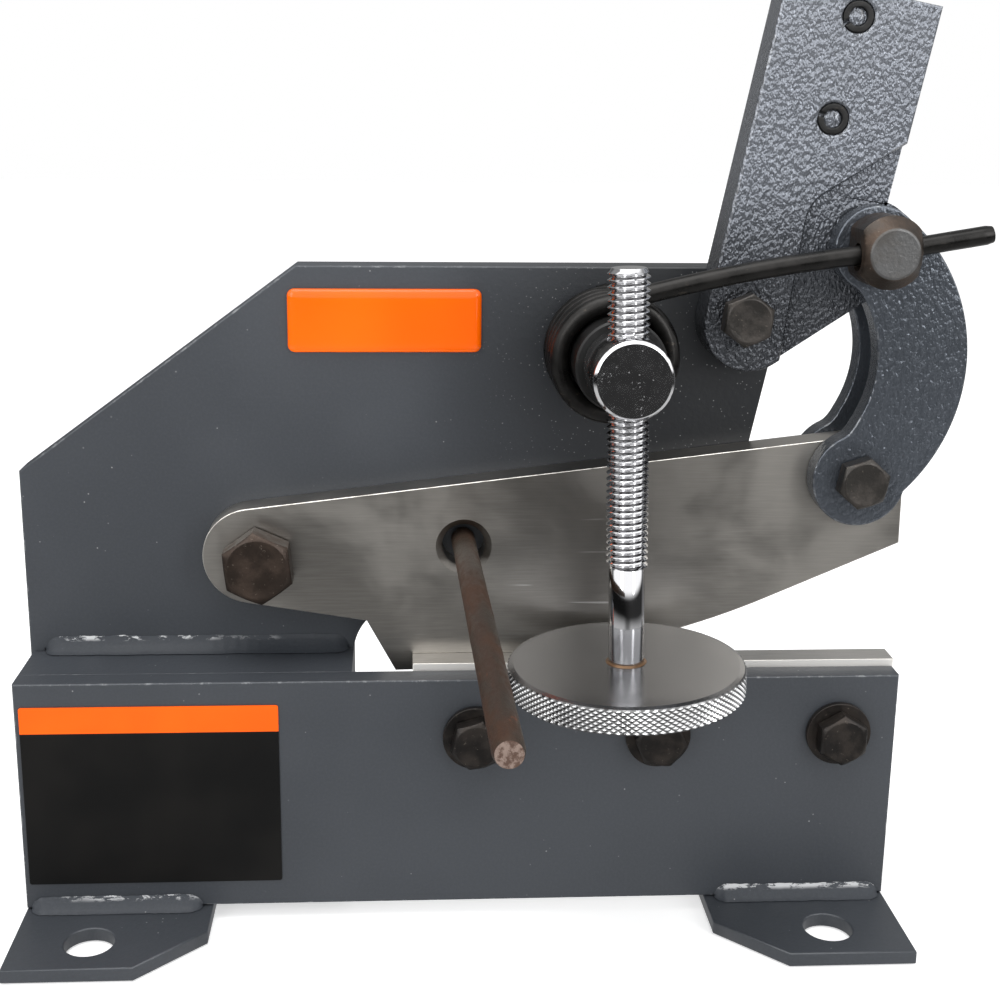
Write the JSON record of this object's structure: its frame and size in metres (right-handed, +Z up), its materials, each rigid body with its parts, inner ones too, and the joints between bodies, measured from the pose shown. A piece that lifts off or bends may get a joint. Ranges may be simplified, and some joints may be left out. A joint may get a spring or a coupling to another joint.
{
  "type": "metal shear",
  "caption": "Bench plate shear: a hand lever and links swing a hinged blade past a fixed blade, with a screw hold-down and a return spring.",
  "frame": {"origin": "underside of the left foot, below the front plate's front face", "axes": "+X along the blades towards the lever, +Y away from the operator, +Z up"},
  "size_m": [0.4641, 0.2832, 0.9134],
  "materials": {
    "frame_paint": "satin enamel with chipped edges",
    "hammertone": "hammered gloss enamel",
    "blade_steel": "surface ground",
    "oxide_steel": "black-brown oxide",
    "spring_steel": "oiled black",
    "chrome": "bright plating",
    "bar_steel": "rusty hot-rolled",
    "badge_orange": "domed gloss",
    "sticker_vinyl": "printed vinyl",
    "grip_rubber": "matt"
  },
  "bodies": {
    "frame": {"foot_left": "frame_paint", "foot_right": "frame_paint", "front_plate": "frame_paint", "spacer_block": "frame_paint", "back_plate": "frame_paint", "weld_column": "frame_paint", "weld_foot_left": "frame_paint", "weld_foot_right": "frame_paint", "badge": "badge_orange", "sticker": "sticker_vinyl", "lower_blade": "blade_steel", "blade_washer_1": "oxide_steel", "blade_washer_2": "oxide_steel", "blade_washer_3": "oxide_steel", "blade_bolt_1": "oxide_steel", "blade_bolt_2": "oxide_steel", "blade_bolt_3": "oxide_steel", "blade_pivot_bolt": "oxide_steel", "blade_pivot_washer": "oxide_steel", "blade_pivot_nut": "oxide_steel", "lever_bolt": "oxide_steel", "lever_washer": "oxide_steel", "lever_nut": "oxide_steel", "spring_boss": "spring_steel", "spring_coil": "spring_steel"},
    "blade": {"moving_blade": "blade_steel"},
    "lever": {"lever": "hammertone", "roll_pin_upper": "spring_steel", "roll_pin_lower": "spring_steel", "handle_bar": "spring_steel", "handle_grip": "grip_rubber"},
    "links": {"link_front": "hammertone", "link_rear": "hammertone", "link_bolt": "oxide_steel", "link_bolt_nut": "oxide_steel"},
    "spring_pin": {"spring_pin": "oxide_steel", "spring_pin_nut": "oxide_steel"},
    "spring_arm": {"spring_arm": "spring_steel"},
    "hold_down_head": {"hold_down_head": "chrome"},
    "hold_down_screw": {"hold_down_screw": "chrome", "hold_down_disc": "chrome"},
    "round_bar": {"round_bar": "bar_steel"}
  },
  "joints": [
    {"name": "lever_pivot", "type": "hinge", "parent": "frame", "child": "lever", "pos_m": [0.2569, 0.028, 0.253], "axis": [0, 1, 0], "range_deg": [0, 46], "stiffness_Nm_per_rad": 6, "springref_deg": -68.75},
    {"name": "blade_pivot", "type": "hinge", "parent": "frame", "child": "blade", "pos_m": [0.0598, 0.0305, 0.1502], "axis": [0, 1, 0], "range_deg": [0, 10.4]},
    {"name": "link_pivot", "type": "hinge", "parent": "lever", "child": "links", "pos_m": [0.3072, 0.0305, 0.2815], "axis": [0, 1, 0], "range_deg": [-43.2, 0]},
    {"name": "spring_swing", "type": "hinge", "parent": "frame", "child": "spring_arm", "pos_m": [0.203, 0.002, 0.2388], "axis": [0, 1, 0], "range_deg": [0, 23.8]},
    {"name": "spring_pin_turn", "type": "hinge", "parent": "lever", "child": "spring_pin", "pos_m": [0.3072, 0.0305, 0.2815], "axis": [0, 1, 0], "range_deg": [-22.6, 0]},
    {"name": "hold_down_swing", "type": "hinge", "parent": "frame", "child": "hold_down_head", "pos_m": [0.203, -0.028, 0.2388], "axis": [0, 1, 0], "range_deg": [-4, 3]},
    {"name": "hold_down_travel", "type": "slide", "parent": "hold_down_head", "child": "hold_down_screw", "axis": [-0.0262, 0, 0.9997], "range_m": [-0.002, 0.04]},
    {"name": "bar_slide", "type": "slide", "parent": "blade", "child": "round_bar", "axis": [0.0163, -0.9997, 0.0208], "range_m": [0, 0.06]}
  ],
  "couplings": [
    {"joint": "blade_pivot", "follows": "lever_pivot", "ratio": 0.2229},
    {"joint": "link_pivot", "follows": "lever_pivot", "ratio": -0.9339},
    {"joint": "spring_swing", "follows": "lever_pivot", "ratio": 0.5131},
    {"joint": "spring_pin_turn", "follows": "lever_pivot", "ratio": -0.4869}
  ]
}
